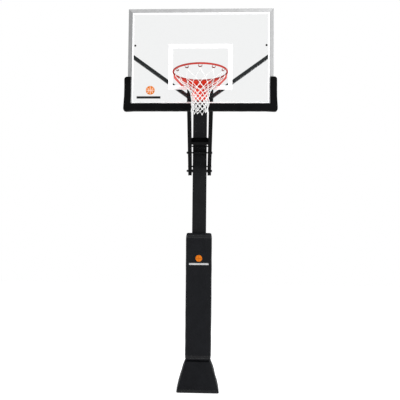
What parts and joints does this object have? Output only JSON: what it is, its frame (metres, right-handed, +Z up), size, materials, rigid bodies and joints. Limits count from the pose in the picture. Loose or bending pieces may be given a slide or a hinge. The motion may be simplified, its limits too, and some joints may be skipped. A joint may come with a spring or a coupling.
{
  "type": "basketball hoop",
  "caption": "In-ground basketball hoop: padded square pole, crank-raised parallel arms, framed glass backboard, breakaway rim and net.",
  "frame": {"origin": "centre of the base plate's underside, on the pole's axis, where it is bolted to the ground", "axes": "+Z up the pole, -Y towards the shooter (the way the board faces), +X to the shooter's right"},
  "size_m": [1.438, 1.9685, 3.774],
  "materials": {
    "pole_steel": "satin powder coat",
    "frame_steel": "satin powder coat",
    "black_zinc": "black zinc",
    "bright_steel": "ground",
    "bronze": "machined",
    "jack_paint": "gloss paint",
    "rail_aluminium": "satin anodised",
    "board_glass": "clear tempered",
    "gasket_rubber": "matte",
    "grip_rubber": "matte",
    "cap_plastic": "moulded",
    "pad_vinyl": "vinyl-coated cloth over foam",
    "edge_foam": "skinned foam",
    "rim_red": "powder coat",
    "hook_steel": "powder coat",
    "net_nylon": "braided nylon"
  },
  "bodies": {
    "pole": {"base_plate": "pole_steel", "base_gussets": "pole_steel", "pole_tube": "pole_steel", "pole_cap": "cap_plastic", "pole_pad": "pad_vinyl", "base_cover": "pad_vinyl", "pole_pivot_bolts": "black_zinc", "upper_pivot_sleeve": "pole_steel", "lower_pivot_spacers": "black_zinc", "jack_mount_plate": "pole_steel", "gearbox_housing": "jack_paint", "gearbox_cover": "jack_paint", "crank_bush": "bronze", "jack_outer_tube": "jack_paint", "screw_bearing": "bright_steel", "ram_guide_bush": "bronze", "jack_top_clamp": "pole_steel"},
    "lower_arms": {"lower_arm_left": "frame_steel", "lower_arm_right": "frame_steel", "lower_arm_bushes": "black_zinc", "lower_arm_brace": "frame_steel"},
    "upper_arms": {"upper_arm_left": "frame_steel", "upper_arm_right": "frame_steel", "upper_arm_bushes": "black_zinc", "upper_tie_rod": "frame_steel", "jack_cross_pin": "black_zinc"},
    "ram": {"ram_tube": "bright_steel", "drive_nut": "bronze", "ram_head": "bright_steel"},
    "screw": {"lead_screw": "bright_steel", "driven_bevel_gear": "bright_steel"},
    "crank": {"crank_bevel_gear": "bright_steel", "crank_shaft": "bright_steel", "crank_arm": "frame_steel"},
    "grip": {"crank_grip": "grip_rubber"},
    "board": {"glass_panel": "board_glass", "frame_rail_top": "rail_aluminium", "frame_rail_bottom": "rail_aluminium", "frame_rail_left": "rail_aluminium", "frame_rail_right": "rail_aluminium", "glazing_gasket": "gasket_rubber", "strut_left": "frame_steel", "strut_right": "frame_steel", "upright_left": "frame_steel", "upright_right": "frame_steel", "crossbars": "frame_steel", "pivot_lugs": "frame_steel", "board_pivot_bolts": "black_zinc", "edge_pad": "edge_foam", "rim_backing_plate": "frame_steel", "rim_spacers": "black_zinc", "rim_bolts": "black_zinc", "rim_back_plate": "rim_red", "rim_housing": "rim_red", "rim_pivot_pin": "bright_steel", "rim_springs": "bright_steel"},
    "rim": {"rim_ring": "rim_red", "rim_wing": "rim_red", "net_hooks": "hook_steel", "net": "net_nylon"}
  },
  "joints": [
    {"name": "height_adjust", "type": "hinge", "parent": "pole", "child": "lower_arms", "pos_m": [0, 0, 2.383], "axis": [1, 0, 0], "range_deg": [0, 47.01]},
    {"name": "upper_arm_swing", "type": "hinge", "parent": "pole", "child": "upper_arms", "pos_m": [0, -0.09, 2.57], "axis": [1, 0, 0], "range_deg": [0, 47.1]},
    {"name": "board_level", "type": "hinge", "parent": "lower_arms", "child": "board", "pos_m": [0, -0.83, 2.87], "axis": [1, 0, 0], "range_deg": [-47.1, 0]},
    {"name": "ram_lift", "type": "slide", "parent": "pole", "child": "ram", "axis": [0, 0, 1], "range_m": [0, 0.1858]},
    {"name": "screw_turn", "type": "hinge", "parent": "pole", "child": "screw", "pos_m": [0, 0.1281, 1.9], "axis": [0, 0, 1], "range_deg": [-4177.6, 0]},
    {"name": "crank_turn", "type": "hinge", "parent": "pole", "child": "crank", "pos_m": [0, 0.18, 1.79], "axis": [0, 1, 0], "range_deg": [0, 4177.6]},
    {"name": "grip_spin", "type": "hinge", "parent": "crank", "child": "grip", "pos_m": [0, 0.26, 1.65], "axis": [0, 1, 0], "continuous": true},
    {"name": "rim_breakaway", "type": "hinge", "parent": "board", "child": "rim", "pos_m": [0, -1.045, 3.012], "axis": [1, 0, 0], "range_deg": [0, 18], "stiffness_Nm_per_rad": 900, "springref_deg": -17.19, "deforming": ["rim_springs"]}
  ],
  "couplings": [
    {"joint": "upper_arm_swing", "follows": "height_adjust", "ratio": 1},
    {"joint": "board_level", "follows": "height_adjust", "ratio": -1},
    {"joint": "ram_lift", "follows": "height_adjust", "m_per_rad": 0.22604},
    {"joint": "screw_turn", "follows": "height_adjust", "ratio": -88.766},
    {"joint": "crank_turn", "follows": "height_adjust", "ratio": 88.766}
  ]
}
